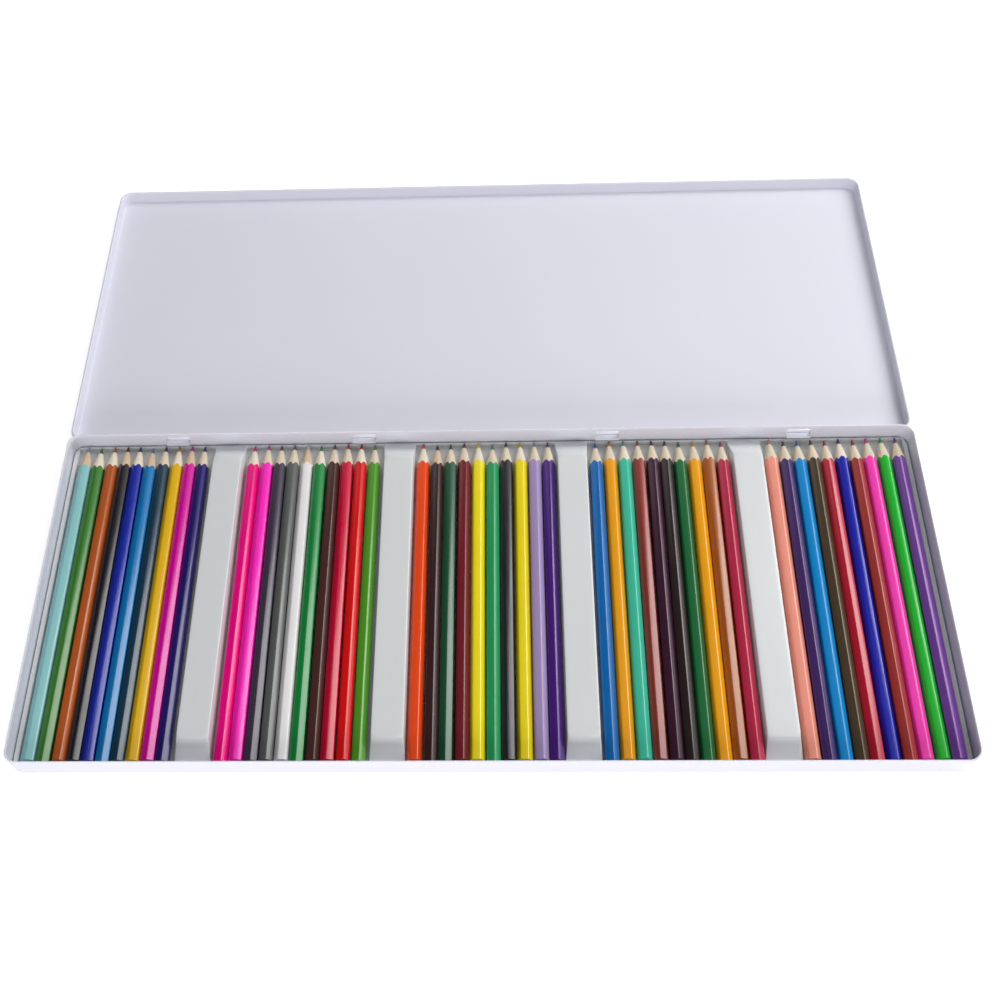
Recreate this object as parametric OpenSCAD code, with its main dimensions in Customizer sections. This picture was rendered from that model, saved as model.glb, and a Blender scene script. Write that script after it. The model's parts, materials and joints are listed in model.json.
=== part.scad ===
// Flat hinged pencil tin, open flat with its lid behind it, holding five rows of coloured pencils.
// The pencils set the size of the tray's wells, the tray sets the size of the base, and the lid fits over the base.
// The lid is shallower than the hinge is high, so when open it leans on its far edge.
// X runs along the tin, +Y points from the front wall to the lid, +Z is up.
// The origin is the centre of the underside of the base.

/* [Pencils] */
// Length of a pencil, from the point to the flat end
pencil_len = 177; // [120:1:210]
// Width of a pencil across two opposite flats
pencil_af = 6.4; // [5:0.1:8]
// Diameter of the coloured core
core_d = 2.4; // [1.6:0.1:3.6]
// Glue gap around the core
core_gap = 0.03; // [0.02:0.01:0.08]
// Diameter of the blunt point
point_d = 0.7; // [0.4:0.1:1.4]
// Half angle of the sharpened cone, in degrees
cone_angle = 12.7; // [9:0.1:15]
// Gap between neighbouring pencils
pencil_gap = 0.12; // [0.08:0.01:0.4]
// Gap under each pencil
pencil_lift = 0.2; // [0.1:0.05:0.4]

/* [Tray] */
// Thickness of the formed plastic sheet
tray_t = 0.5; // [0.3:0.05:0.8]
// Height of the well floors above the sheet of the base
tray_floor_gap = 0.3; // [0.2:0.05:0.6]
// Height of the tray's rim above the underside of the base
tray_rim_z = 4; // [3:0.1:8]
// Gap between the outermost pencils and the sides of a well
well_side_gap = 0.4; // [0.3:0.05:1.5]
// Room beyond each end of a pencil
well_end_gap = 1; // [1:0.05:4]
// Radius of the upright corners of a well
well_r = 1.2; // [0.6:0.1:2]
// Width of the divider between two wells
divider_w = 16.8; // [12:0.1:24]
// Height of the raised pad on a divider above the underside of the base
pad_z = 9.8; // [8:0.1:11]
// Width of the top of a raised pad
pad_top_w = 15; // [9:0.1:16]
// Distance from the tray's ends to the flat top of a pad
pad_end = 12.5; // [11:0.5:20]
// Length of the slope at each end of a pad
pad_slope = 9; // [3:0.5:10]
// Radius of the corners of a pad
pad_r = 3; // [1:0.5:5]
// Width of the tray's rim along its sides
rim_side = 1.8; // [1.5:0.1:6]
// Width of the tray's rim along its ends
rim_end = 0.4; // [0.4:0.1:6]
// Gap between the tray and the folded edge of the base, which it has to pass
tray_gap = 0.3; // [0.2:0.05:1]

/* [Tin] */
// Thickness of the tinplate
sheet = 0.3; // [0.2:0.05:0.4]
// Height of the base
base_h = 14; // [12.5:0.1:20]
// Height of the lid
lid_h = 7; // [5.5:0.1:8]
// Radius of the tin's upright corners
corner_r = 6; // [3:0.5:6]
// Outer radius of the bend between floor and wall
bend_r = 1; // [0.6:0.1:1.2]
// Gap inside the folded top edge of the base
fold_gap = 0.1; // [0.05:0.05:0.3]
// Length of the folded edge down the inside of the wall
fold_len = 1.8; // [1:0.1:2]
// Gap between the lid's skirt and the base
skirt_gap = 0.3; // [0.2:0.05:0.6]
// Gap over the base's top edge when the lid is shut
lid_rest = 0.3; // [0.2:0.05:0.6]

/* [Hinge] */
// Diameter of the steel wire in the lid's rear edge
wire_d = 0.7; // [0.5:0.05:0.9]
// Running clearance around the wire
wire_gap = 0.03; // [0.02:0.01:0.08]
// Width of a hook
hook_w = 12; // [6:0.5:16]
// Gap between a hook and the notch around it in the lid
hook_gap = 0.4; // [0.3:0.05:1]
// Distance from the side of the base to the middle of the outer hooks
hook_inset = 57; // [40:1:80]
// Distance between the two hooks of a pair
hook_pair = 98.5; // [60:0.5:100]

/* [Hidden] */
// Each pencil: name, colour, turn about its own axis in degrees from lying on a flat, and shift towards the hinge in mm
ROWS = [
    [
        ["pencil_01_pale_aqua", "#8fc9cb", -22, 0.8],
        ["pencil_02_leaf_green", "#3a7d2b", 24, 0],
        ["pencil_03_rust", "#b85a24", 8, 0.8],
        ["pencil_04_black", "#1d1a22", 29, 0.8],
        ["pencil_05_deep_blue", "#10259c", -26, 0.6],
        ["pencil_06_cerulean", "#0f78b8", 24, -0.3],
        ["pencil_07_dark_teal", "#1b3c50", 22, 0.6],
        ["pencil_08_golden_yellow", "#e3b40c", -18, 0.6],
        ["pencil_09_magenta", "#d6009c", 27, 0.8],
        ["pencil_10_navy", "#241b6b", 25, 0.3],
    ],
    [
        ["pencil_11_deep_pink", "#ef0084", 14, 0.2],
        ["pencil_12_bright_pink", "#ff23c0", -20, 0.8],
        ["pencil_13_slate_violet", "#413a4c", 26, 0.4],
        ["pencil_14_grey", "#5f6260", 22, 0.8],
        ["pencil_15_white", "#ebe9ea", -12, 0.8],
        ["pencil_16_green", "#128a3e", 28, -0.2],
        ["pencil_17_dark_brown", "#4a2a26", 10, 0.8],
        ["pencil_18_crimson", "#cc0c3a", -24, 0.8],
        ["pencil_19_red", "#dd1012", 18, 0.7],
        ["pencil_20_olive_green", "#529a24", 20, 0.1],
    ],
    [
        ["pencil_21_orange", "#ee4a10", 4, 0.7],
        ["pencil_22_umber", "#3a2222", 18, -0.6],
        ["pencil_23_forest_green", "#22563a", -26, -0.2],
        ["pencil_24_maroon", "#741c28", 12, 0.8],
        ["pencil_25_bright_yellow", "#f7e41c", 8, 0.8],
        ["pencil_26_emerald", "#269c5c", 20, -0.6],
        ["pencil_27_blue_black", "#2a2630", -16, 0.8],
        ["pencil_28_yellow", "#f0dc12", 6, 0.8],
        ["pencil_29_lavender", "#a792c2", 14, 0.8],
        ["pencil_30_purple", "#4a1f7c", 24, 0.4],
    ],
    [
        ["pencil_31_blue", "#0a68b2", 20, -0.5],
        ["pencil_32_amber", "#f2a40c", 6, 0.8],
        ["pencil_33_mint", "#40c2a2", 12, 0.8],
        ["pencil_34_brick", "#92362e", -16, 0.8],
        ["pencil_35_plum", "#3c1a30", 22, 0.8],
        ["pencil_36_bistre", "#2e2222", 26, 0.4],
        ["pencil_37_dark_green", "#206c3c", 8, -0.4],
        ["pencil_38_marigold", "#f4a60c", 10, 0],
        ["pencil_39_copper_brown", "#a85c26", -14, 0.8],
        ["pencil_40_carmine", "#ba2a4a", 24, -0.6],
    ],
    [
        ["pencil_41_salmon", "#f49a86", 10, 0.8],
        ["pencil_42_dark_purple", "#432a66", 24, -0.6],
        ["pencil_43_sky_blue", "#0e8cd2", 16, -0.6],
        ["pencil_44_olive_brown", "#4a3c28", 22, -0.1],
        ["pencil_45_cherry", "#ba1c34", -20, -0.6],
        ["pencil_46_royal_blue", "#1520a8", 6, 0.6],
        ["pencil_47_brown_red", "#a03530", 26, -0.6],
        ["pencil_48_pink", "#fb40b6", 12, 0.6],
        ["pencil_49_bright_green", "#16b42c", 8, 0.8],
        ["pencil_50_violet", "#76409e", -18, 0.6],
    ],
];
PENCILS = [for (row = ROWS) for (p = row) p];
PER_ROW = len(ROWS[0]);

tin_colour = "#e4e4ee";
tray_colour = "#d6d8da";
wire_colour = "#b8b8bc";
round_fn = 64; // drawn steps of a circle
over = 1; // how far a cutter runs past what it cuts

// A pencil lies along Y. Its width depends on how far it is turned from lying on a flat.
pencil_ac = pencil_af / cos(30);
function turn_of(p) = min(abs(p[2]), 60 - abs(p[2]));
function width_of(p) = pencil_ac * cos(turn_of(p));
function half_height_of(p) = pencil_ac / 2 * cos(30 - turn_of(p));
function sum_of(v, n) = n == 0 ? 0 : v[n - 1] + sum_of(v, n - 1);
function widths(row) = [for (p = row) width_of(p) + pencil_gap];
function row_width(row) = sum_of(widths(row), len(row)) - pencil_gap;
well_w = max([for (row = ROWS) row_width(row)]) + 2 * well_side_gap;
well_d = pencil_len + 2 * well_end_gap;
row_pitch = well_w + divider_w;
row_count = len(ROWS);
function row_x(i) = (i - (row_count - 1) / 2) * row_pitch;
function pencil_x(i) = let (row = ROWS[floor(i / PER_ROW)], n = i % PER_ROW)
    row_x(floor(i / PER_ROW)) - row_width(row) / 2 + sum_of(widths(row), n) + width_of(row[n]) / 2;

// The cone passes the flats first and the corners last, which leaves the paint's scalloped edge
cone_slope = tan(cone_angle);
cone_big_r = pencil_ac / 2 + 0.2;
cone_len = (cone_big_r - point_d / 2) / cone_slope;

// Tray, base and lid, each worked out from what it holds
floor_z = sheet + tray_floor_gap + tray_t;
tray_w = row_count * well_w + (row_count - 1) * divider_w + 2 * (tray_t + rim_side);
tray_d = well_d + 2 * (tray_t + rim_end);
base_w = tray_w + 2 * (tray_gap + 2 * sheet + fold_gap);
base_d = tray_d + 2 * (tray_gap + 2 * sheet + fold_gap);
tray_r = corner_r - 2 * sheet - fold_gap - tray_gap;
lid_w = base_w + 2 * (skirt_gap + sheet);
lid_d = base_d + 2 * (skirt_gap + sheet);
lid_r = corner_r + skirt_gap + sheet;

fold_t = 2 * sheet + fold_gap;
fold_r = fold_t / 2;

// The hinge is where the lid's rolled edge comes to lie when the lid is shut
bore_r = wire_d / 2 + wire_gap;
curl_r = bore_r + sheet;
shut_h = base_h + lid_rest + sheet;
hinge_z = shut_h - lid_h + curl_r;
hinge_y = base_d / 2 + skirt_gap + curl_r;
wire_len = lid_w - 2 * lid_r - 2 * sheet;

// Open, the lid turns past level until the bend at its far edge touches what the base stands on
lean_y = curl_r - sheet + lid_d - bend_r;
lean_z = lid_h - curl_r - bend_r;
lid_lean = asin((hinge_z - bend_r) / norm([lean_y, lean_z])) - atan2(lean_z, lean_y);

// A hook is a tongue cut free of the base's rear wall at its top and sides, and curled round the wire
hook_z = hinge_z - curl_r;
hook_len = sheet / 2 + skirt_gap + curl_r + (bore_r + sheet / 2) * 2 * PI * 270 / 360;
hook_outer_x = base_w / 2 - hook_inset;
hook_x = [-hook_outer_x, hook_pair - hook_outer_x, hook_outer_x - hook_pair, hook_outer_x];

module rounded_rect(w, d, r) {
    square([w - 2 * r, d], center = true);
    square([w, d - 2 * r], center = true);
    for (x = [-1, 1], y = [-1, 1])
        translate([x * (w / 2 - r), y * (d / 2 - r)])
            circle(r, $fn = round_fn);
}

// Runs a section round a rounded rectangle. In the section x = 0 is the outline and -x points inwards.
module around(w, d, r) {
    for (k = [0:3]) {
        across = k % 2 == 0 ? w : d;
        along = k % 2 == 0 ? d : w;
        rotate(90 * k) {
            translate([across / 2, along / 2 - r, 0])
                rotate([90, 0, 0])
                    linear_extrude(along - 2 * r)
                        children();
            translate([across / 2 - r, along / 2 - r, 0])
                rotate_extrude(angle = 90, $fn = round_fn)
                    translate([r, 0])
                        children();
        }
    }
}

module quarter_ring(outer, inner) {
    difference() {
        circle(outer, $fn = round_fn);
        circle(inner, $fn = round_fn);
        translate([-outer - over, 0])
            square([2 * (outer + over), outer + over]);
        translate([-outer - over, -outer - over])
            square([outer + over, 2 * (outer + over)]);
    }
}

module ring(outer, inner) {
    difference() {
        circle(outer, $fn = round_fn);
        circle(inner, $fn = round_fn);
    }
}

// Section of a drawn pan up to wall_h: the bend at the floor, and the wall
module pan_section(wall_h) {
    translate([-bend_r, bend_r])
        quarter_ring(bend_r, bend_r - sheet);
    translate([-sheet, bend_r])
        square([sheet, wall_h - bend_r]);
}

// Section of the base: its top edge is folded inwards and down
module base_section() {
    pan_section(base_h - fold_r);
    translate([-fold_r, base_h - fold_r])
        intersection() {
            ring(fold_r, fold_gap / 2);
            translate([-fold_r, 0])
                square([fold_t, fold_r]);
        }
    translate([-fold_t, base_h - fold_r - fold_len])
        square([sheet, fold_len]);
}

// Section of the lid, in its open position: its edge is rolled outwards, and at the rear it holds the wire
module lid_section() {
    difference() {
        pan_section(lid_h - curl_r);
        translate([curl_r - sheet, lid_h - curl_r])
            circle(bore_r, $fn = round_fn);
    }
    translate([curl_r - sheet, lid_h - curl_r])
        ring(curl_r, bore_r);
}

module pan(w, d, r) {
    linear_extrude(sheet)
        rounded_rect(w - 2 * bend_r, d - 2 * bend_r, r - bend_r);
    around(w, d, r)
        children();
}

// One hook, as a side view
module hook_side() {
    translate([base_d / 2 - sheet, hook_z])
        square([sheet + skirt_gap + curl_r, sheet]);
    translate([hinge_y, hinge_z])
        difference() {
            ring(curl_r, bore_r);
            translate([-curl_r - over, -curl_r - over])
                square(curl_r + over);
        }
}

// Extrudes a side view along X, centred on x = 0
module across_x(w) {
    translate([-w / 2, 0, 0])
        rotate([90, 0, 90])
            linear_extrude(w)
                children();
}

module base_tin() {
    color(tin_colour) {
        difference() {
            pan(base_w, base_d, corner_r)
                base_section();
            for (x = hook_x)
                translate([x - hook_w / 2 - sheet / 2, base_d / 2 - sheet - over / 2, hook_z + sheet])
                    cube([hook_w + sheet, sheet + over, hook_len]);
        }
        for (x = hook_x)
            translate([x, 0, 0])
                across_x(hook_w)
                    hook_side();
    }
}

// Turns its children about the hinge, from level to where the open lid comes to rest
module lean_open() {
    translate([0, hinge_y, hinge_z])
        rotate([-lid_lean, 0, 0])
            children();
}

module lid_tin() {
    notch_w = hook_w + 2 * hook_gap;
    notch_h = 2 * curl_r + hook_gap + over;
    color(tin_colour)
        lean_open()
            difference() {
                translate([0, curl_r - sheet + lid_d / 2, curl_r - lid_h])
                    pan(lid_w, lid_d, lid_r)
                        lid_section();
                for (x = hook_x)
                    translate([x - notch_w / 2, -curl_r - over, -curl_r - hook_gap])
                        cube([notch_w, 2 * curl_r + sheet + over, notch_h]);
            }
}

module hinge_wire() {
    color(wire_colour)
        lean_open()
            translate([-wire_len / 2, 0, 0])
                rotate([0, 90, 0])
                    cylinder(h = wire_len, d = wire_d, $fn = round_fn);
}

// Raised pad on a divider: sloped sides and ends, with inset taken off all round for its hollow underside
module pad(inset) {
    foot_w = divider_w - 2 * inset;
    top_w = pad_top_w - 2 * inset;
    top_len = tray_d - 2 * pad_end - 2 * inset;
    foot_len = top_len + 2 * pad_slope;
    low = tray_rim_z - tray_t;
    high = pad_z - inset;
    intersection() {
        rotate([90, 0, 0])
            linear_extrude(foot_len, center = true)
                polygon([[-foot_w / 2, low], [foot_w / 2, low], [foot_w / 2, tray_rim_z - inset],
                    [top_w / 2, high], [-top_w / 2, high], [-foot_w / 2, tray_rim_z - inset]]);
        rotate([90, 0, 90])
            linear_extrude(foot_w, center = true)
                polygon([[-foot_len / 2, low], [foot_len / 2, low], [foot_len / 2, tray_rim_z - inset],
                    [top_len / 2, high], [-top_len / 2, high], [-foot_len / 2, tray_rim_z - inset]]);
        translate([0, 0, low])
            linear_extrude(high - low)
                rounded_rect(foot_w, foot_len, pad_r - inset);
    }
}

module pencil_tray() {
    divider_x = [for (i = [0:row_count - 2]) row_x(i) + row_pitch / 2];
    color(tray_colour)
        difference() {
            union() {
                translate([0, 0, tray_rim_z - tray_t])
                    linear_extrude(tray_t)
                        rounded_rect(tray_w, tray_d, tray_r);
                for (i = [0:row_count - 1])
                    translate([row_x(i), 0, floor_z - tray_t])
                        linear_extrude(tray_rim_z - floor_z + tray_t)
                            rounded_rect(well_w + 2 * tray_t, well_d + 2 * tray_t, well_r + tray_t);
                for (x = divider_x)
                    translate([x, 0, 0])
                        pad(0);
            }
            for (i = [0:row_count - 1])
                translate([row_x(i), 0, floor_z])
                    linear_extrude(pad_z)
                        rounded_rect(well_w, well_d, well_r);
            for (x = divider_x)
                translate([x, 0, 0])
                    pad(tray_t);
        }
}

// Everything inside this is left after sharpening: a straight run and the cone
module sharpened() {
    cylinder(h = pencil_len - cone_len, r = cone_big_r, $fn = round_fn);
    translate([0, 0, pencil_len - cone_len])
        cylinder(h = cone_len, r1 = cone_big_r, r2 = point_d / 2, $fn = round_fn);
}

module pencil(i) {
    p = PENCILS[i];
    bore = core_d / 2 + core_gap;
    translate([pencil_x(i), p[3] - pencil_len / 2, floor_z + pencil_lift + half_height_of(p)])
        rotate([-90, 0, 0]) {
            color(p[1])
                difference() {
                    intersection() {
                        rotate(-p[2])
                            cylinder(h = pencil_len, d = pencil_ac, $fn = 6);
                        sharpened();
                    }
                    translate([0, 0, -over])
                        cylinder(h = pencil_len + 2 * over, r = bore, $fn = round_fn);
                }
            color(p[1])
                intersection() {
                    cylinder(h = pencil_len, d = core_d, $fn = round_fn);
                    sharpened();
                }
        }
}

base_tin();
lid_tin();
hinge_wire();
pencil_tray();
for (i = [0:len(PENCILS) - 1])
    pencil(i);
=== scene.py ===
import json
import math

import bmesh
import bpy
from mathutils import Matrix, Vector


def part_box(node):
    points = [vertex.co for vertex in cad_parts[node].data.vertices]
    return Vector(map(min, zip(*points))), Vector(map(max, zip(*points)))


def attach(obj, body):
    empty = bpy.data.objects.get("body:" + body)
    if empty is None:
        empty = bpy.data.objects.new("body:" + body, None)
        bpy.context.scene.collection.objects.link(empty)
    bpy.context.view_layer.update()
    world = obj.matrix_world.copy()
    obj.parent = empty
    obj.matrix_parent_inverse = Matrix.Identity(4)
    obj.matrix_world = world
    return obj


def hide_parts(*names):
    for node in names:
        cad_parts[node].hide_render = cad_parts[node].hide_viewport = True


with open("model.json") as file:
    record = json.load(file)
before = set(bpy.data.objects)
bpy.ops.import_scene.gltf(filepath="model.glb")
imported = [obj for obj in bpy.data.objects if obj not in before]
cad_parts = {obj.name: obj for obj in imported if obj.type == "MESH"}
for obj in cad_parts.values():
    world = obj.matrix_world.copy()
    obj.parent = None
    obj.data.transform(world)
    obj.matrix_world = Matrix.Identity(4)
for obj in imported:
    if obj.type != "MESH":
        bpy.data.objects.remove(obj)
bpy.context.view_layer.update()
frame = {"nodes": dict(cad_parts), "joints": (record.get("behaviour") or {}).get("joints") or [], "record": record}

# One millimetre in Blender's metres. Everything below is in metres.
MM = 0.001

# Camera. It looks down on the open tin from in front, a little right of the middle,
# at the height and angle that bring the tin's edges where the photograph has them.
EYE = Vector((7.2, -281.2, 512.5)) * MM
TURN = math.radians(4.78)
LOOK_DOWN = math.radians(61.22)
TILT = math.radians(-4.60)

camera_data = bpy.data.cameras.new("camera")
camera_data.sensor_width = 36
camera_data.lens = 42.75
camera_data.shift_x = 0.0476
camera_data.shift_y = 0.0981
camera_data.clip_start = 0.01
camera = bpy.data.objects.new("camera", camera_data)
bpy.context.scene.collection.objects.link(camera)
camera.matrix_world = (
    Matrix.Translation(EYE)
    @ Matrix.Rotation(TURN, 4, "Z")
    @ Matrix.Rotation(math.pi / 2 - LOOK_DOWN, 4, "X")
    @ Matrix.Rotation(TILT, 4, "Z")
)
bpy.context.scene.camera = camera
bpy.context.scene.view_settings.view_transform = "Standard"

# Studio. A white sweep lies under the tin, and soft lamps stand over it and in front. A bright softbox at
# the right draws the streaks on the pencils, and a low card lights the front wall. Gloss sees black flags
# overhead and at the left, which keep dark lacquers deep.
SWEEP_SIZE = 6.0
SWEEP_DROP = 0.05 * MM
SWEEP_GLOW = 0.6
ROOM_LIGHT = (0.93, 0.94, 1.0)
ROOM_STRENGTH = 0.19


def studio_lamp(name, place, aim, width, height, power, colour):
    """A rectangular soft lamp at place, turned to shine at aim."""
    data = bpy.data.lights.new(name, "AREA")
    data.shape = "RECTANGLE"
    data.size = width
    data.size_y = height
    data.energy = power
    data.color = colour
    lamp = bpy.data.objects.new(name, data)
    bpy.context.scene.collection.objects.link(lamp)
    lamp.location = place
    lamp.rotation_euler = (Vector(aim) - Vector(place)).to_track_quat("-Z", "Y").to_euler()
    return lamp


def seen_directly(tree):
    """A value of 1 for rays that see the background: from the camera, or by way of gloss or glass."""
    path = tree.nodes.new("ShaderNodeLightPath")
    gloss = tree.nodes.new("ShaderNodeMath")
    gloss.operation = "MAXIMUM"
    tree.links.new(path.outputs["Is Camera Ray"], gloss.inputs[0])
    tree.links.new(path.outputs["Is Glossy Ray"], gloss.inputs[1])
    glass = tree.nodes.new("ShaderNodeMath")
    glass.operation = "MAXIMUM"
    tree.links.new(gloss.outputs[0], glass.inputs[0])
    tree.links.new(path.outputs["Is Transmission Ray"], glass.inputs[1])
    return glass.outputs[0]


studio_lamp("overhead_lamp", (0.3, 0.5, 1.5), (0, 0.08, 0), 1.6, 1.2, 5.5, (1.0, 0.99, 0.97))
studio_lamp("softbox", (0.84, 0.57, 0.82), (0, 0, 0), 0.6, 0.95, 12.0, (1.0, 0.99, 0.98))
studio_lamp("front_fill", (-0.1, -1.5, 0.55), (0, 0, 0), 1.6, 0.5, 14.0, (1.0, 0.99, 0.99))
studio_lamp("low_card", (0, -0.9, 0.03), (0, -0.09, 0.007), 1.4, 0.05, 2.3, (1.0, 0.99, 0.98))

felt = bpy.data.materials.new("black_felt")
felt.use_nodes = True
felt.node_tree.nodes["Principled BSDF"].inputs["Base Color"].default_value = (0.005, 0.005, 0.005, 1)
felt.node_tree.nodes["Principled BSDF"].inputs["Roughness"].default_value = 1
for name, place, width, depth, turn in (
    ("overhead_flag", (0, 0.75, 1.15), 2.4, 1.3, 0),
    ("left_flag", (-1.2, 0.6, 0.6), 1.2, 1.6, math.pi / 2),
):
    bpy.ops.mesh.primitive_plane_add(size=1, location=place, rotation=(0, turn, 0))
    flag = bpy.context.object
    flag.name = name
    flag.scale = (width, depth, 1)
    flag.data.materials.append(felt)
    flag.visible_camera = False
    flag.visible_diffuse = False
    flag.visible_transmission = False
    flag.visible_shadow = False

world = bpy.data.worlds.new("room")
bpy.context.scene.world = world
world.use_nodes = True
room = world.node_tree
room.nodes.clear()
dim = room.nodes.new("ShaderNodeBackground")
dim.inputs["Color"].default_value = (*ROOM_LIGHT, 1)
dim.inputs["Strength"].default_value = ROOM_STRENGTH
white = room.nodes.new("ShaderNodeBackground")
white.inputs["Color"].default_value = (1, 1, 1, 1)
white.inputs["Strength"].default_value = 1
room_mix = room.nodes.new("ShaderNodeMixShader")
room.links.new(seen_directly(room), room_mix.inputs["Fac"])
room.links.new(dim.outputs[0], room_mix.inputs[1])
room.links.new(white.outputs[0], room_mix.inputs[2])
room_out = room.nodes.new("ShaderNodeOutputWorld")
room.links.new(room_mix.outputs[0], room_out.inputs["Surface"])

bpy.ops.mesh.primitive_plane_add(size=SWEEP_SIZE, location=(0, 0, -SWEEP_DROP))
sweep = bpy.context.object
sweep.name = "sweep"
paper = bpy.data.materials.new("white_paper")
paper.use_nodes = True
paper_tree = paper.node_tree
paper_tree.nodes.clear()
matt = paper_tree.nodes.new("ShaderNodeBsdfDiffuse")
matt.inputs["Color"].default_value = (0.86, 0.86, 0.87, 1)
glow = paper_tree.nodes.new("ShaderNodeEmission")
glow_level = paper_tree.nodes.new("ShaderNodeMath")
glow_level.operation = "MULTIPLY"
glow_level.inputs[1].default_value = SWEEP_GLOW
paper_tree.links.new(seen_directly(paper_tree), glow_level.inputs[0])
paper_tree.links.new(glow_level.outputs[0], glow.inputs["Strength"])
both = paper_tree.nodes.new("ShaderNodeAddShader")
paper_tree.links.new(matt.outputs[0], both.inputs[0])
paper_tree.links.new(glow.outputs[0], both.inputs[1])
paper_out = paper_tree.nodes.new("ShaderNodeOutputMaterial")
paper_tree.links.new(both.outputs[0], paper_out.inputs["Surface"])
sweep.data.materials.append(paper)

# Base of the tin. It is one sheet of tinplate, drawn into a shallow pan and enamelled white,
# with its top edge folded inwards. Four tongues, cut free of the rear wall, curl round the hinge wire.
SHEET = 0.3 * MM
CORNER = 6 * MM
BEND = 1.0 * MM
FOLD = 0.35 * MM
FOLD_DOWN = 1.8 * MM
WIRE_CLEAR = 0.38 * MM
CURL = WIRE_CLEAR + SHEET
HOOK_WIDTH = 12 * MM
HOOK_INSET = 57 * MM
HOOK_PAIR = 98.5 * MM
FOLD_STEPS = 6
HOOK_EDGE = 0.06 * MM
TINY = 0.01 * MM

hinge_joint = next(j for j in frame["joints"] if j["name"] == "lid_hinge")
HINGE = Vector(hinge_joint["pos_m"])
base_low, base_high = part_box("base_tin")
BASE_WIDTH = 2 * base_high.x
BASE_DEPTH = -2 * base_low.y
BASE_HEIGHT = base_high.z
HOOK_X = [side * (BASE_WIDTH / 2 - HOOK_INSET - step) for side in (-1, 1) for step in (0, HOOK_PAIR)]


def pick(kind, test):
    """Selects only those vertices, edges or faces of the mesh in edit mode whose corners pass the test."""
    bpy.ops.mesh.select_mode(type=kind)
    bpy.ops.mesh.select_all(action="DESELECT")
    mesh = bmesh.from_edit_mesh(bpy.context.object.data)
    parts = {"VERT": mesh.verts, "EDGE": mesh.edges, "FACE": mesh.faces}[kind]
    for part in parts:
        part.select = test([part.co] if kind == "VERT" else [v.co for v in part.verts])
    mesh.select_flush_mode()
    bmesh.update_edit_mesh(bpy.context.object.data)


def fresh_object(name):
    """Names the primitive that was just added and leaves it alone in the selection, in edit mode."""
    made = bpy.context.object
    made.name = name
    made.data.name = name
    bpy.ops.object.transform_apply(location=True, rotation=True, scale=True)
    bpy.ops.object.mode_set(mode="EDIT")
    return made


def modify(piece, kind, **settings):
    """Adds one modifier and applies it at once."""
    bpy.ops.object.select_all(action="DESELECT")
    piece.select_set(True)
    bpy.context.view_layer.objects.active = piece
    modifier = piece.modifiers.new(kind.lower(), kind)
    for key, value in settings.items():
        setattr(modifier, key, value)
    bpy.ops.object.modifier_apply(modifier=modifier.name)


def cut(piece, cutter):
    """Takes the cutter's shape out of the piece, and deletes the cutter."""
    modify(piece, "BOOLEAN", operation="DIFFERENCE", object=cutter, solver="EXACT")
    bpy.data.objects.remove(cutter)


def join(piece, others):
    """Makes the others part of the piece's mesh."""
    bpy.ops.object.select_all(action="DESELECT")
    for other in [piece, *others]:
        other.select_set(True)
    bpy.context.view_layer.objects.active = piece
    bpy.ops.object.join()


def block(name, low, high):
    """A plain block between two corners, to cut with."""
    low, high = Vector(low), Vector(high)
    bpy.ops.mesh.primitive_cube_add(size=1, location=(low + high) / 2, scale=high - low)
    made = fresh_object(name)
    bpy.ops.object.mode_set(mode="OBJECT")
    return made


def smooth(piece, degrees):
    """Smooth shading, with every edge sharper than the angle left crisp."""
    bpy.ops.object.select_all(action="DESELECT")
    piece.select_set(True)
    bpy.context.view_layer.objects.active = piece
    bpy.ops.object.shade_smooth_by_angle(angle=math.radians(degrees))


def drawn_pan(name, width, depth, height, corner):
    """The outer skin of a drawn pan, open at the top, left in edit mode with its rim selected."""
    bpy.ops.object.select_all(action="DESELECT")
    bpy.ops.mesh.primitive_cube_add(size=1, location=(0, 0, height / 2), scale=(width, depth, height))
    made = fresh_object(name)
    pick("EDGE", lambda c: abs(c[0].z - c[1].z) > height / 2)
    bpy.ops.mesh.bevel(offset=corner, offset_type="OFFSET", segments=14, affect="EDGES")
    pick("FACE", lambda c: min(v.z for v in c) > height - TINY)
    bpy.ops.mesh.delete(type="FACE")
    pick("EDGE", lambda c: max(v.z for v in c) < TINY)
    bpy.ops.mesh.bevel(offset=BEND, offset_type="OFFSET", segments=5, affect="EDGES")
    pick("EDGE", lambda c: min(v.z for v in c) > height - TINY)
    return made


def carry_rim(width, depth, out, up):
    """Extrudes the selected rim by one step, out from the pan and up. Gives its new width and depth."""
    bpy.ops.mesh.extrude_region_move(TRANSFORM_OT_translate={"value": (0, 0, up)})
    new_width, new_depth = width + 2 * out, depth + 2 * out
    bpy.ops.transform.resize(value=(new_width / width, new_depth / depth, 1), center_override=(0, 0, 0))
    return new_width, new_depth


base = drawn_pan("base_tin_shell", BASE_WIDTH, BASE_DEPTH, BASE_HEIGHT - FOLD, CORNER)
rim = (BASE_WIDTH, BASE_DEPTH)
for k in range(FOLD_STEPS):
    a, b = math.pi * k / FOLD_STEPS, math.pi * (k + 1) / FOLD_STEPS
    rim = carry_rim(*rim, FOLD * (math.cos(b) - math.cos(a)), FOLD * (math.sin(b) - math.sin(a)))
carry_rim(*rim, 0, -FOLD_DOWN)
bpy.ops.object.mode_set(mode="OBJECT")
modify(base, "SOLIDIFY", thickness=SHEET, offset=-1, use_even_offset=True)

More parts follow.
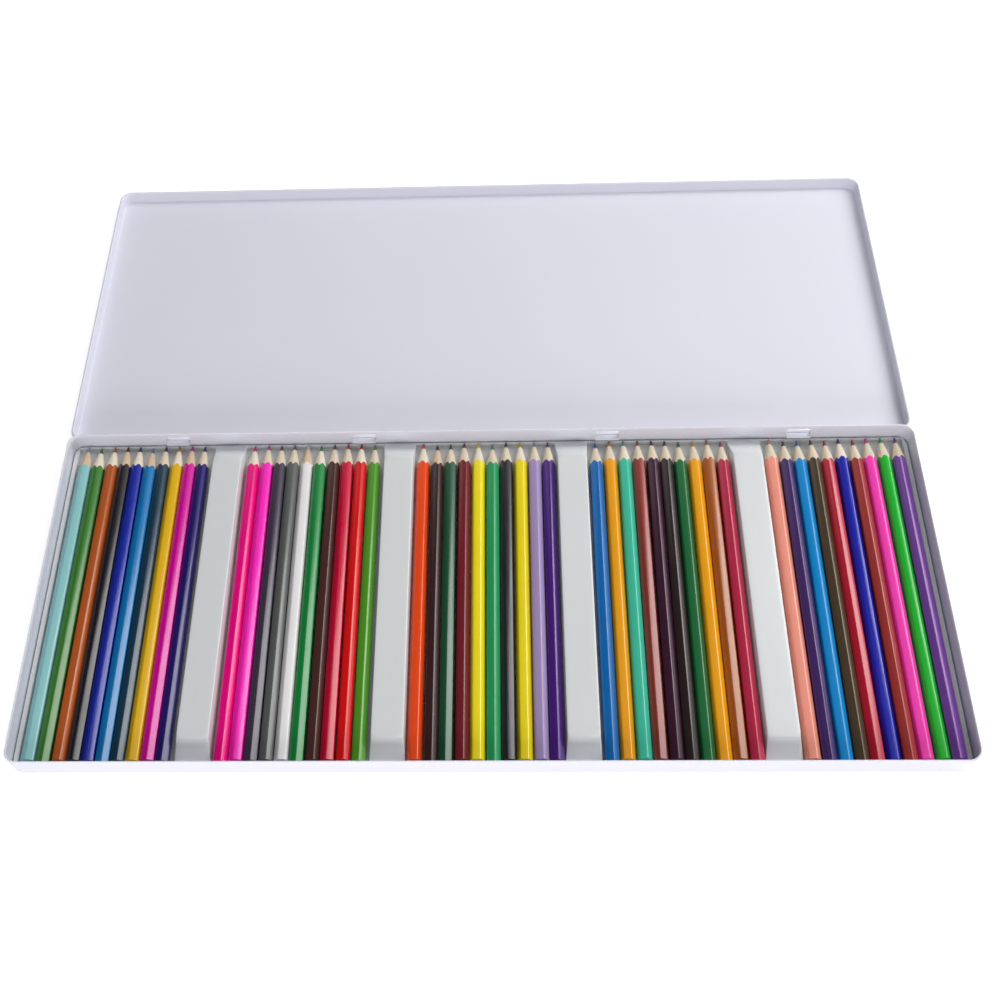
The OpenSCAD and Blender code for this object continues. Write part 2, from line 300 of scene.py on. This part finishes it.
hook_low = HINGE.z - CURL
hook_length = SHEET / 2 + HINGE.y - BASE_DEPTH / 2 + (WIRE_CLEAR + SHEET / 2) * 1.5 * math.pi
hooks = []
for n, x in enumerate(HOOK_X):
    half = HOOK_WIDTH / 2
    window_low = (x - half - SHEET / 2, BASE_DEPTH / 2 - 2 * SHEET, hook_low + SHEET)
    window_high = (x + half + SHEET / 2, BASE_DEPTH / 2 + SHEET, hook_low + SHEET + hook_length)
    cut(base, block("window", window_low, window_high))
    root = BASE_DEPTH / 2 - SHEET
    bpy.ops.object.select_all(action="DESELECT")
    middle = (x, (root + HINGE.y) / 2, hook_low)
    bpy.ops.mesh.primitive_plane_add(size=1, location=middle)
    bpy.context.object.scale = (HOOK_WIDTH, HINGE.y - root, 1)
    hook = fresh_object(f"hook_{n + 1}")
    pick("EDGE", lambda c: min(v.y for v in c) > HINGE.y - TINY)
    bpy.ops.mesh.spin(steps=18, angle=1.5 * math.pi, center=(x, HINGE.y, HINGE.z), axis=(1, 0, 0))
    bpy.ops.mesh.select_all(action="SELECT")
    bpy.ops.mesh.remove_doubles(threshold=TINY / 10)
    bpy.ops.mesh.normals_make_consistent(inside=False)
    bpy.ops.object.mode_set(mode="OBJECT")
    if hook.data.polygons[0].normal.z > 0:
        bpy.ops.object.mode_set(mode="EDIT")
        bpy.ops.mesh.select_all(action="SELECT")
        bpy.ops.mesh.flip_normals()
        bpy.ops.object.mode_set(mode="OBJECT")
    modify(hook, "SOLIDIFY", thickness=SHEET, offset=-1, use_even_offset=True)
    modify(hook, "BEVEL", width=HOOK_EDGE, segments=2, limit_method="ANGLE", angle_limit=math.radians(50))
    hooks.append(hook)
join(base, hooks)
smooth(base, 35)


def group(name, inputs, outputs):
    """An empty shader node group with named sockets."""
    made = bpy.data.node_groups.new(name, "ShaderNodeTree")
    for socket, kind, value in inputs:
        made.interface.new_socket(socket, in_out="INPUT", socket_type=kind).default_value = value
    for socket, kind in outputs:
        made.interface.new_socket(socket, in_out="OUTPUT", socket_type=kind)
    return made, made.nodes.new("NodeGroupInput"), made.nodes.new("NodeGroupOutput")


# Ripple: the faint unevenness that a coat keeps when it dries, and the wide sway of a large flat sheet.
ripple, ripple_in, ripple_out = group(
    "coat_ripple",
    [
        ("Stretch", "NodeSocketVector", (1, 1, 1)),
        ("Size", "NodeSocketFloat", 400.0),
        ("Depth", "NodeSocketFloat", 0.1),
        ("Sway", "NodeSocketFloat", 0.0),
    ],
    [("Normal", "NodeSocketVector")],
)
ripple_place = ripple.nodes.new("ShaderNodeTexCoord")
ripple_stretch = ripple.nodes.new("ShaderNodeVectorMath")
ripple_stretch.operation = "MULTIPLY"
ripple_noise = ripple.nodes.new("ShaderNodeTexNoise")
ripple_noise.inputs["Detail"].default_value = 2
ripple_bump = ripple.nodes.new("ShaderNodeBump")
ripple_bump.inputs["Distance"].default_value = 0.1 * MM
ripple_wide = ripple.nodes.new("ShaderNodeTexNoise")
ripple_wide.inputs["Scale"].default_value = 9
ripple_wide.inputs["Detail"].default_value = 1
ripple_sway = ripple.nodes.new("ShaderNodeBump")
ripple_sway.inputs["Distance"].default_value = 4 * MM
ripple.links.new(ripple_place.outputs["Object"], ripple_stretch.inputs[0])
ripple.links.new(ripple_in.outputs["Stretch"], ripple_stretch.inputs[1])
ripple.links.new(ripple_stretch.outputs[0], ripple_noise.inputs["Vector"])
ripple.links.new(ripple_in.outputs["Size"], ripple_noise.inputs["Scale"])
ripple.links.new(ripple_noise.outputs[0], ripple_bump.inputs["Height"])
ripple.links.new(ripple_in.outputs["Depth"], ripple_bump.inputs["Strength"])
ripple.links.new(ripple_place.outputs["Object"], ripple_wide.inputs["Vector"])
ripple.links.new(ripple_wide.outputs[0], ripple_sway.inputs["Height"])
ripple.links.new(ripple_in.outputs["Sway"], ripple_sway.inputs["Strength"])
ripple.links.new(ripple_bump.outputs[0], ripple_sway.inputs["Normal"])
ripple.links.new(ripple_sway.outputs[0], ripple_out.inputs["Normal"])

# Handling: dull patches where fingers have been, and a slight drift in a coat's thickness. Each finish
# keeps to one side of roughness 0.275, near which the renderer's denoiser drew a faint edge.
handling, handling_in, handling_out = group(
    "handling_marks",
    [("Size", "NodeSocketFloat", 30.0), ("Smooth", "NodeSocketFloat", 0.2), ("Dull", "NodeSocketFloat", 0.35)],
    [("Roughness", "NodeSocketFloat"), ("Mask", "NodeSocketFloat")],
)
handling_place = handling.nodes.new("ShaderNodeTexCoord")
handling_noise = handling.nodes.new("ShaderNodeTexNoise")
handling_noise.inputs["Detail"].default_value = 6
handling_noise.inputs["Roughness"].default_value = 0.6
handling_range = handling.nodes.new("ShaderNodeMapRange")
handling_range.inputs["From Min"].default_value = 0.25
handling_range.inputs["From Max"].default_value = 0.75
handling_mix = handling.nodes.new("ShaderNodeMix")
handling.links.new(handling_place.outputs["Object"], handling_noise.inputs["Vector"])
handling.links.new(handling_in.outputs["Size"], handling_noise.inputs["Scale"])
handling.links.new(handling_noise.outputs[0], handling_range.inputs["Value"])
handling.links.new(handling_range.outputs[0], handling_mix.inputs["Factor"])
handling.links.new(handling_in.outputs["Smooth"], handling_mix.inputs["A"])
handling.links.new(handling_in.outputs["Dull"], handling_mix.inputs["B"])
handling.links.new(handling_mix.outputs[0], handling_out.inputs["Roughness"])
handling.links.new(handling_range.outputs[0], handling_out.inputs["Mask"])


def linear(r, g, b):
    """A colour as a screen shows it, 0 to 255, as the light levels that Blender works in."""
    levels = [c / 255 for c in (r, g, b)]
    return [c / 12.92 if c <= 0.04045 else ((c + 0.055) / 1.055) ** 2.4 for c in levels] + [1.0]


def place_group(tree, made, **values):
    """Places a node group in a material, with its own values."""
    node = tree.nodes.new("ShaderNodeGroup")
    node.node_tree = made
    for socket, value in values.items():
        node.inputs[socket].default_value = value
    return node


def new_material(name):
    """A material with one Principled shader. Gives the material, its node tree and the shader."""
    material = bpy.data.materials.new(name)
    material.use_nodes = True
    tree = material.node_tree
    return material, tree, tree.nodes["Principled BSDF"]


def drifting_colour(tree, first, second, mask):
    """A colour that drifts between two close ones with the mask."""
    mix = tree.nodes.new("ShaderNodeMix")
    mix.data_type = "RGBA"
    mix.inputs["A"].default_value = first
    mix.inputs["B"].default_value = second
    tree.links.new(mask, mix.inputs["Factor"])
    return mix.outputs["Result"]


enamel, tree, shader = new_material("white_enamel")
marks = place_group(tree, handling, Size=9.0, Smooth=0.28, Dull=0.38)
coat = place_group(tree, ripple, Size=500.0, Depth=0.1, Sway=0.25)
drift = drifting_colour(tree, linear(226, 226, 237), linear(223, 223, 235), marks.outputs["Mask"])
tree.links.new(drift, shader.inputs["Base Color"])
tree.links.new(marks.outputs["Roughness"], shader.inputs["Roughness"])
tree.links.new(coat.outputs["Normal"], shader.inputs["Normal"])
shader.inputs["Specular IOR Level"].default_value = 0.45

base.data.materials.clear()
base.data.materials.append(enamel)
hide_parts("base_tin")
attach(base, "base")

# Lid of the tin. It is drawn from the same sheet, shallower and a little larger than the base.
# Its edge is rolled outwards, and the roll is cut away where the hooks of the base pass round the wire.
LID_HEIGHT = 7 * MM
SKIRT_GAP = 0.3 * MM
HOOK_ROOM = 0.4 * MM
LID_WIDTH = BASE_WIDTH + 2 * (SKIRT_GAP + SHEET)
LID_DEPTH = BASE_DEPTH + 2 * (SKIRT_GAP + SHEET)
LID_CORNER = CORNER + SKIRT_GAP + SHEET
LEAN = math.radians(-hinge_joint["range_deg"][0] - 180)
ROLL_STEPS = 11
ROLL_STEP = math.radians(28)

lid = drawn_pan("lid_tin_shell", LID_WIDTH, LID_DEPTH, LID_HEIGHT - CURL, LID_CORNER)
rim = (LID_WIDTH, LID_DEPTH)
for k in range(ROLL_STEPS):
    a, b = k * ROLL_STEP, (k + 1) * ROLL_STEP
    rim = carry_rim(*rim, WIRE_CLEAR * (math.cos(a) - math.cos(b)), WIRE_CLEAR * (math.sin(b) - math.sin(a)))
bpy.ops.object.mode_set(mode="OBJECT")
modify(lid, "SOLIDIFY", thickness=SHEET, offset=-1, use_even_offset=True)
for x in HOOK_X:
    notch_half = HOOK_WIDTH / 2 + HOOK_ROOM
    notch_low = (x - notch_half, -LID_DEPTH / 2 - 3 * CURL, LID_HEIGHT - 2 * CURL - HOOK_ROOM)
    notch_high = (x + notch_half, -LID_DEPTH / 2 + 2 * SHEET, LID_HEIGHT + CURL)
    cut(lid, block("notch", notch_low, notch_high))
lid.matrix_world = (
    Matrix.Translation(HINGE)
    @ Matrix.Rotation(-LEAN, 4, "X")
    @ Matrix.Translation((0, CURL - SHEET + LID_DEPTH / 2, CURL - LID_HEIGHT))
)
bpy.ops.object.select_all(action="DESELECT")
lid.select_set(True)
bpy.context.view_layer.objects.active = lid
bpy.ops.object.transform_apply(location=True, rotation=True, scale=True)
smooth(lid, 35)
lid.data.materials.clear()
lid.data.materials.append(enamel)
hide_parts("lid_tin")
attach(lid, "lid")

# Hinge wire. It is a straight length of bright drawn steel that lies in the lid's rolled rear edge.
# Drawing leaves fine lines along it.
steel, tree, shader = new_material("drawn_steel")
lines = place_group(tree, ripple, Stretch=(0.02, 1, 1), Size=9000.0, Depth=0.3)
marks = place_group(tree, handling, Size=60.0, Smooth=0.28, Dull=0.42)
steel_drift = drifting_colour(tree, linear(196, 196, 199), linear(172, 172, 176), marks.outputs["Mask"])
tree.links.new(steel_drift, shader.inputs["Base Color"])
tree.links.new(marks.outputs["Roughness"], shader.inputs["Roughness"])
tree.links.new(lines.outputs["Normal"], shader.inputs["Normal"])
shader.inputs["Metallic"].default_value = 1
wire = frame["nodes"]["hinge_wire"]
wire.data.materials.clear()
wire.data.materials.append(steel)

# Pencil tray. It is one sheet of glossy white plastic, heated and sucked over a mould. It has five
# wells, and a raised pad on each divider that slopes down before it reaches the tray's rim.
TRAY_SHEET = 0.5 * MM
TRAY_CORNER = 5 * MM
RIM_LEVEL = 4 * MM
WELLS = 5
DIVIDER_WIDTH = 16.8 * MM
PAD_TOP_WIDTH = 15 * MM
PAD_END = 12.5 * MM
PAD_SLOPE = 9 * MM
PAD_ROUND = 3 * MM
PAD_STEPS = [step * MM for step in (0, 1.3, 3)]
RIM_SIDE = 1.8 * MM
RIM_END = 0.4 * MM
FORM_ROUND = 0.7 * MM

tray_low, tray_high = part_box("pencil_tray")
TRAY_WIDTH = 2 * tray_high.x
TRAY_DEPTH = 2 * tray_high.y
PAD_LEVEL = tray_high.z
WELL_LEVEL = tray_low.z + TRAY_SHEET
WELL_WIDTH = (TRAY_WIDTH - 2 * (RIM_SIDE + TRAY_SHEET) - (WELLS - 1) * DIVIDER_WIDTH) / WELLS
WELL_DEPTH = TRAY_DEPTH - 2 * (RIM_END + TRAY_SHEET)
PITCH = WELL_WIDTH + DIVIDER_WIDTH
WELL_X = [(n - (WELLS - 1) / 2) * PITCH for n in range(WELLS)]
DIVIDER_X = [x + PITCH / 2 for x in WELL_X[:-1]]
PAD_TOP = TRAY_DEPTH / 2 - PAD_END
PAD_FOOT = PAD_TOP + PAD_SLOPE


def in_a_well(x, y):
    """True inside the outline of a well, seen from above."""
    return abs(y) < WELL_DEPTH / 2 and any(abs(x - w) < WELL_WIDTH / 2 for w in WELL_X)


bpy.ops.object.select_all(action="DESELECT")
bpy.ops.mesh.primitive_plane_add(size=1, location=(0, 0, RIM_LEVEL))
bpy.context.object.scale = (TRAY_WIDTH, TRAY_DEPTH, 1)
tray = fresh_object("pencil_tray_form")
pick("VERT", lambda c: True)
bpy.ops.mesh.bevel(offset=TRAY_CORNER, segments=8, affect="VERTICES")
well_sides = [x + side * WELL_WIDTH / 2 for x in WELL_X for side in (-1, 1)]
pad_sides = [x + side * (DIVIDER_WIDTH / 2 - step) for x in DIVIDER_X for step in PAD_STEPS[1:] for side in (-1, 1)]
pad_ends = [PAD_TOP - step for step in PAD_STEPS]
cross_cuts = [side * y for y in (WELL_DEPTH / 2, PAD_FOOT, *pad_ends) for side in (-1, 1)]
for x in well_sides + pad_sides:
    bpy.ops.mesh.select_all(action="SELECT")
    bpy.ops.mesh.bisect(plane_co=(x, 0, 0), plane_no=(1, 0, 0))
for y in cross_cuts:
    bpy.ops.mesh.select_all(action="SELECT")
    bpy.ops.mesh.bisect(plane_co=(0, y, 0), plane_no=(0, 1, 0))
pick("FACE", lambda c: in_a_well(sum(v.x for v in c) / len(c), sum(v.y for v in c) / len(c)))
bpy.ops.mesh.extrude_region_move(TRANSFORM_OT_translate={"value": (0, 0, WELL_LEVEL - RIM_LEVEL)})
for x in DIVIDER_X:
    pick(
        "VERT",
        lambda c: abs(c[0].x - x) < DIVIDER_WIDTH / 2 + TINY
        and abs(c[0].y) < PAD_TOP + TINY
        and c[0].z > RIM_LEVEL - TINY,
    )
    bpy.ops.transform.translate(value=(0, 0, PAD_LEVEL - RIM_LEVEL))
    bpy.ops.transform.resize(value=(PAD_TOP_WIDTH / DIVIDER_WIDTH, 1, 1), center_override=(x, 0, 0))

# The pads' corners are rounded seen from above: there the surface falls away as it does along the slope.
fall = (PAD_LEVEL - RIM_LEVEL) / PAD_SLOPE
for x in DIVIDER_X:
    for aside in PAD_STEPS:
        for y in pad_ends:
            from_centre = math.hypot(PAD_ROUND - aside, y - PAD_TOP + PAD_ROUND)
            if from_centre > PAD_ROUND + TINY:
                pick(
                    "VERT",
                    lambda c: abs(abs(c[0].x - x) - (DIVIDER_WIDTH / 2 - aside) * PAD_TOP_WIDTH / DIVIDER_WIDTH) < TINY
                    and abs(abs(c[0].y) - y) < TINY
                    and c[0].z > PAD_LEVEL - TINY,
                )
                bpy.ops.transform.translate(value=(0, 0, -fall * (from_centre - PAD_ROUND)))
bpy.ops.object.mode_set(mode="OBJECT")
modify(
    tray,
    "BEVEL",
    width=FORM_ROUND,
    segments=4,
    limit_method="ANGLE",
    angle_limit=math.radians(20),
    use_clamp_overlap=True,
)
modify(tray, "SOLIDIFY", thickness=TRAY_SHEET, offset=-1, use_even_offset=False)
smooth(tray, 40)

plastic, tree, shader = new_material("formed_plastic")
marks = place_group(tree, handling, Size=14.0, Smooth=0.2, Dull=0.27)
coat = place_group(tree, ripple, Size=160.0, Depth=0.2)
plastic_drift = drifting_colour(tree, linear(220, 223, 224), linear(217, 220, 221), marks.outputs["Mask"])
tree.links.new(plastic_drift, shader.inputs["Base Color"])
tree.links.new(marks.outputs["Roughness"], shader.inputs["Roughness"])
tree.links.new(coat.outputs["Normal"], shader.inputs["Normal"])
shader.inputs["Subsurface Weight"].default_value = 0.05
shader.inputs["Subsurface Radius"].default_value = (0.5 * MM, 0.5 * MM, 0.5 * MM)
tray.data.materials.clear()
tray.data.materials.append(plastic)
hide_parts("pencil_tray")
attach(tray, "tray")

# Pencils. Each is two grooved slats of light wood glued round a coloured core, milled to six sides,
# lacquered and then sharpened. The cutter passes the flats first, so the lacquer ends in scallops.
PENCIL_LENGTH = 177 * MM
ACROSS_FLATS = 6.4 * MM
CORE_RADIUS = 1.2 * MM
POINT_RADIUS = 0.35 * MM
CONE_ANGLE = math.radians(12.7)
EDGE_ROUND = 0.45 * MM
HALF_SIDE = math.radians(30)
BODY_RADIUS = ACROSS_FLATS / 2 / math.cos(HALF_SIDE)
CORE_CLEAR = 0.015 * MM


def sharpener():
    """What the sharpener leaves, as a solid on the pencil's axis: a straight run and a cone."""
    widest = BODY_RADIUS + 0.2 * MM
    cone_length = (widest - POINT_RADIUS) / math.tan(CONE_ANGLE)
    bpy.ops.object.select_all(action="DESELECT")
    bpy.ops.mesh.primitive_cone_add(
        vertices=72,
        radius1=widest,
        radius2=POINT_RADIUS,
        depth=cone_length,
        location=(0, 0, PENCIL_LENGTH - cone_length / 2),
    )
    made = fresh_object("sharpener")
    pick("FACE", lambda c: len(c) > 4 and max(v.z for v in c) < PENCIL_LENGTH - cone_length / 2)
    bpy.ops.mesh.extrude_region_move(TRANSFORM_OT_translate={"value": (0, 0, cone_length - PENCIL_LENGTH - 5 * MM)})
    pick("FACE", lambda c: len(c) > 4 and min(v.z for v in c) > PENCIL_LENGTH - TINY)
    bpy.ops.mesh.bevel(offset=0.12 * MM, segments=3, affect="EDGES")
    bpy.ops.object.mode_set(mode="OBJECT")
    return made


def rod(name, radius, sides, low, high, turn=0.0):
    """A straight rod on the pencil's axis."""
    bpy.ops.object.select_all(action="DESELECT")
    bpy.ops.mesh.primitive_cylinder_add(
        vertices=sides, radius=radius, depth=high - low, location=(0, 0, (low + high) / 2), rotation=(0, 0, turn)
    )
    return fresh_object(name)


def keep_inside(piece, cutter):
    """Keeps only what of the piece lies inside the cutter, and deletes the cutter."""
    modify(piece, "BOOLEAN", operation="INTERSECT", object=cutter, solver="EXACT")
    bpy.data.objects.remove(cutter)


# The first pencil is made along Z with its flat end at the origin. A new six-sided rod has a flat towards
# +X, so it is turned by half a side to bring a corner there.
wood_body = rod("wood_body", BODY_RADIUS, 6, 0, PENCIL_LENGTH, HALF_SIDE)
pick("EDGE", lambda c: abs(c[0].z - c[1].z) > PENCIL_LENGTH / 2)
bpy.ops.mesh.bevel(offset=EDGE_ROUND, segments=3, affect="EDGES")
bpy.ops.object.mode_set(mode="OBJECT")
bore = rod("bore", CORE_RADIUS, 32, -MM, PENCIL_LENGTH + MM)
bpy.ops.object.mode_set(mode="OBJECT")
keep_inside(wood_body, sharpener())
cut(wood_body, bore)
core_body = rod("core_body", CORE_RADIUS - CORE_CLEAR, 32, 0, PENCIL_LENGTH)
bpy.ops.object.mode_set(mode="OBJECT")
keep_inside(core_body, sharpener())


def is_sharpened(polygon):
    """True for a face that the sharpener cut: it leans towards the point."""
    return 0.05 < polygon.normal.z < 0.99


def is_flat_end(polygon):
    """True for the end that was dipped in lacquer, core and all."""
    return polygon.normal.z < -0.99


LACQUER, WOOD, CORE = 0, 1, 2
wood_body.data.materials.clear()
core_body.data.materials.clear()
blanks = [bpy.data.materials.new(name) for name in ("blank_lacquer", "blank_wood", "blank_core")]
for part in (wood_body, core_body):
    for blank in blanks:
        part.data.materials.append(blank)
for polygon in wood_body.data.polygons:
    from_axis = Vector(polygon.center[:2]).length
    bored = abs(polygon.normal.z) < 0.05 and from_axis < CORE_RADIUS + 0.1 * MM
    polygon.material_index = WOOD if is_sharpened(polygon) or bored else LACQUER
for polygon in core_body.data.polygons:
    polygon.material_index = LACQUER if is_flat_end(polygon) else CORE
join(wood_body, [core_body])
pencil = wood_body
smooth(pencil, 28)

# The map runs round the pencil in one direction and along it in the other, both in metres,
# so the wood's fibres follow the pencil wherever it lies.
along = pencil.data.uv_layers.new(name="along_the_pencil")
for polygon in pencil.data.polygons:
    for loop in polygon.loop_indices:
        corner = pencil.data.vertices[pencil.data.loops[loop].vertex_index].co
        angle = math.atan2(corner.y, corner.x)
        along.data[loop].uv = (angle * BODY_RADIUS, corner.z)

# Wood grain: long fine fibres, darker pores and a slow drift in tone along the pencil's length.
grain, grain_in, grain_out = group(
    "basswood_grain",
    [
        ("Pale", "NodeSocketColor", (1, 1, 1, 1)),
        ("Deep", "NodeSocketColor", (1, 1, 1, 1)),
        ("Shift", "NodeSocketFloat", 0.0),
    ],
    [("Color", "NodeSocketColor"), ("Normal", "NodeSocketVector")],
)
grain_map = grain.nodes.new("ShaderNodeTexCoord")
grain_stretch = grain.nodes.new("ShaderNodeVectorMath")
grain_stretch.operation = "MULTIPLY"
grain_stretch.inputs[1].default_value = (1, 0.07, 1)
grain_shift = grain.nodes.new("ShaderNodeVectorMath")
grain_shift.operation = "ADD"
grain_fibre = grain.nodes.new("ShaderNodeTexNoise")
grain_fibre.inputs["Scale"].default_value = 2600
grain_fibre.inputs["Detail"].default_value = 4
grain_fibre.inputs["Roughness"].default_value = 0.65
grain_slow = grain.nodes.new("ShaderNodeTexNoise")
grain_slow.inputs["Scale"].default_value = 420
grain_slow.inputs["Detail"].default_value = 2
grain_sum = grain.nodes.new("ShaderNodeMath")
grain_sum.operation = "MULTIPLY_ADD"
grain_sum.inputs[1].default_value = 0.55
grain_half = grain.nodes.new("ShaderNodeMath")
grain_half.operation = "MULTIPLY"
grain_half.inputs[1].default_value = 0.5
grain_range = grain.nodes.new("ShaderNodeMapRange")
grain_range.inputs["From Min"].default_value = 0.38
grain_range.inputs["From Max"].default_value = 0.66
grain_mix = grain.nodes.new("ShaderNodeMix")
grain_mix.data_type = "RGBA"
grain_bump = grain.nodes.new("ShaderNodeBump")
grain_bump.inputs["Strength"].default_value = 0.35
grain_bump.inputs["Distance"].default_value = 0.06 * MM
grain.links.new(grain_map.outputs["UV"], grain_stretch.inputs[0])
grain.links.new(grain_stretch.outputs[0], grain_shift.inputs[0])
grain.links.new(grain_in.outputs["Shift"], grain_shift.inputs[1])
grain.links.new(grain_shift.outputs[0], grain_fibre.inputs["Vector"])
grain.links.new(grain_shift.outputs[0], grain_slow.inputs["Vector"])
grain.links.new(grain_slow.outputs[0], grain_half.inputs[0])
grain.links.new(grain_fibre.outputs[0], grain_sum.inputs[0])
grain.links.new(grain_half.outputs[0], grain_sum.inputs[2])
grain.links.new(grain_sum.outputs[0], grain_range.inputs["Value"])
grain.links.new(grain_range.outputs[0], grain_mix.inputs["Factor"])
grain.links.new(grain_in.outputs["Pale"], grain_mix.inputs["A"])
grain.links.new(grain_in.outputs["Deep"], grain_mix.inputs["B"])
grain.links.new(grain_range.outputs[0], grain_bump.inputs["Height"])
grain.links.new(grain_mix.outputs["Result"], grain_out.inputs["Color"])
grain.links.new(grain_bump.outputs[0], grain_out.inputs["Normal"])


def cut_wood(name, pale, deep, shift):
    """Bare sharpened wood in one of the tones that a set of pencils has."""
    material, tree, shader = new_material(name)
    fibres = place_group(tree, grain, Pale=linear(*pale), Deep=linear(*deep), Shift=shift)
    tree.links.new(fibres.outputs["Color"], shader.inputs["Base Color"])
    tree.links.new(fibres.outputs["Normal"], shader.inputs["Normal"])
    shader.inputs["Roughness"].default_value = 0.7
    shader.inputs["Specular IOR Level"].default_value = 0.3
    return material


WOODS = [
    cut_wood("wood_cream", (231, 219, 197), (208, 192, 166), 0.0),
    cut_wood("wood_pale", (240, 231, 213), (220, 207, 184), 0.31),
    cut_wood("wood_tan", (226, 203, 176), (196, 169, 138), 0.57),
]


def darker(colour, share):
    """The colour with its light cut to a share."""
    return [c * share for c in colour[:3]] + [1.0]


def lacquer(name, colour):
    """A dipped coat of gloss lacquer. It keeps faint lines along the pencil from its drawing die."""
    material, tree, shader = new_material(name)
    marks = place_group(tree, handling, Size=90.0, Smooth=0.19, Dull=0.27)
    drawn = place_group(tree, ripple, Stretch=(1, 0.03, 1), Size=1500.0, Depth=0.35)
    shade = drifting_colour(tree, linear(*colour), darker(linear(*colour), 0.93), marks.outputs["Mask"])
    tree.links.new(shade, shader.inputs["Base Color"])
    tree.links.new(marks.outputs["Roughness"], shader.inputs["Roughness"])
    tree.links.new(drawn.outputs["Normal"], shader.inputs["Normal"])
    shader.inputs["Specular IOR Level"].default_value = 0.5
    return material


def waxy_core(name, colour):
    """Pigment bound in wax: a dull sheen, with small dark and light specks."""
    material, tree, shader = new_material(name)
    specks = place_group(tree, handling, Size=2500.0, Smooth=0.4, Dull=0.6)
    shade = drifting_colour(tree, linear(*colour), darker(linear(*colour), 0.8), specks.outputs["Mask"])
    tree.links.new(shade, shader.inputs["Base Color"])
    tree.links.new(specks.outputs["Roughness"], shader.inputs["Roughness"])
    return material


# The record gives each lacquer's colour. A core is a duller, greyer version of it. The pencils
# are not all of one wood: most are cream, some are paler, and some are tan.
LACQUERS = {m["slot"]: [255 * c for c in m["base_color"]] for m in frame["record"]["materials"]}
WAX_GREY = (70, 62, 84)
WAX_SHARE = 0.35
CREAM, PALE, TAN = 0, 1, 2
PALE_PENCILS = ("02", "03", "05", "08", "11", "16", "19", "21", "25", "28", "33", "46")
TAN_PENCILS = ("01", "04", "06", "09", "15", "22")


def roll_of(node, axis):
    """How far a CAD pencil is turned about its axis: the direction of a corner at its flat end."""
    points = [v.co for v in frame["nodes"][node].data.vertices]
    end = min(p.y for p in points) + TINY
    corner = max((p for p in points if p.y < end), key=lambda p: (p.x - axis.x) ** 2 + (p.z - axis.z) ** 2)
    return math.atan2(axis.z - corner.z, corner.x - axis.x)


pencil_nodes = sorted(name for name in frame["nodes"] if name.startswith("pencil_") and name != "pencil_tray")
for node in pencil_nodes:
    low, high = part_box(node)
    axis = Vector(((low.x + high.x) / 2, low.y, (low.z + high.z) / 2))
    copy = bpy.data.objects.new(node + "_finished", pencil.data.copy())
    bpy.context.scene.collection.objects.link(copy)
    copy.data.transform(
        Matrix.Translation(axis)
        @ Matrix.Rotation(-math.pi / 2, 4, "X")
        @ Matrix.Rotation(roll_of(node, axis), 4, "Z")
    )
    place, short = node[len("pencil_"):].split("_", 1)
    wood_tone = PALE if place in PALE_PENCILS else TAN if place in TAN_PENCILS else CREAM
    paint = LACQUERS["lacquer_" + short]
    lead = [c + WAX_SHARE * (grey - c) for c, grey in zip(paint, WAX_GREY)]
    copy.data.materials[LACQUER] = lacquer("lacquer_" + short, paint)
    copy.data.materials[WOOD] = WOODS[wood_tone]
    copy.data.materials[CORE] = waxy_core("core_" + short, lead)
    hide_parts(node)
    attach(copy, node)
bpy.data.objects.remove(pencil)
for blank in blanks:
    bpy.data.materials.remove(blank)
